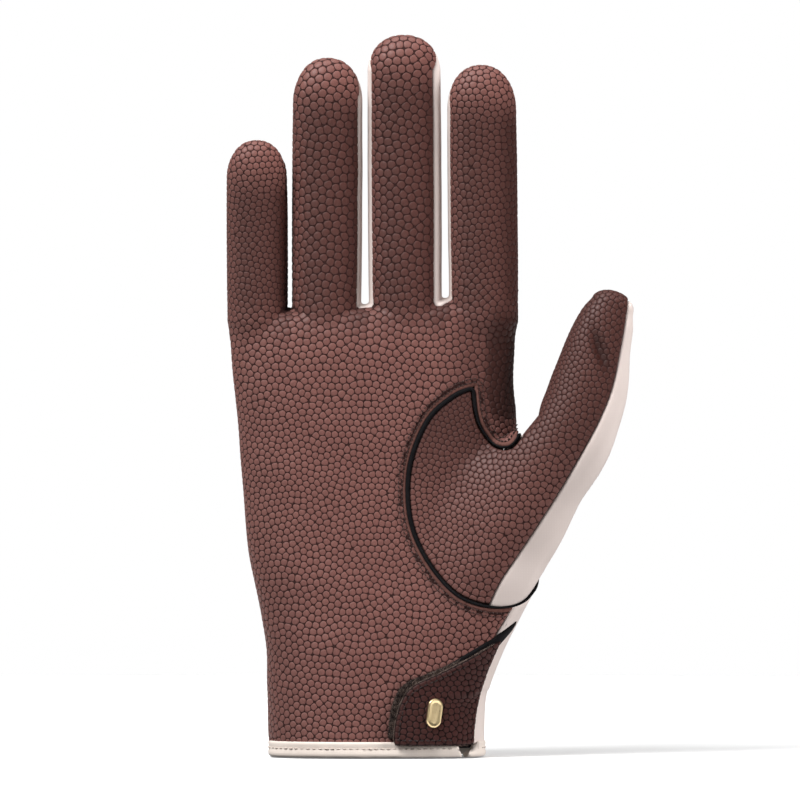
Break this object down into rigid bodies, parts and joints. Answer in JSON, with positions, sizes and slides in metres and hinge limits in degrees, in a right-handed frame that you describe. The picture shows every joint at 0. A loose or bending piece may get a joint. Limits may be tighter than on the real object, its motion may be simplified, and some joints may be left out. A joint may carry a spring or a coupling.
{
  "type": "horse riding glove",
  "caption": "Riding glove for the right hand with embossed brown palm, cream stretch back, keyhole thumb and a closing tab at the wrist, in the form it has when worn.",
  "frame": {"origin": "centre of the wrist opening, at the lower edge of the hem", "axes": "+Z towards the fingertips, -Y out of the palm, +X towards the thumb"},
  "size_m": [0.1262, 0.0379, 0.223],
  "materials": {
    "palm_leather": "semi-gloss, embossed with small rounded scales",
    "tab_leather": "satin, embossed with small rounded scales",
    "cream_stretch": "matt, fine knit with a slight sheen",
    "cream_binding": "matt, folded tape",
    "black_trim": "matt",
    "pile": "fuzzy loops",
    "gold_metal": "polished"
  },
  "bodies": {
    "root": {"palm": "palm_leather", "back": "cream_stretch", "fourchette_little_ring": "palm_leather", "fourchette_ring_middle": "cream_stretch", "fourchette_middle_index": "cream_stretch", "thumb_front": "palm_leather", "thumb_back": "cream_stretch", "thumb_piping": "black_trim", "vent_gusset": "black_trim", "loop_patch": "pile", "closure_tab": "tab_leather", "tab_plate": "gold_metal", "hem_binding": "cream_binding"}
  },
  "joints": []
}
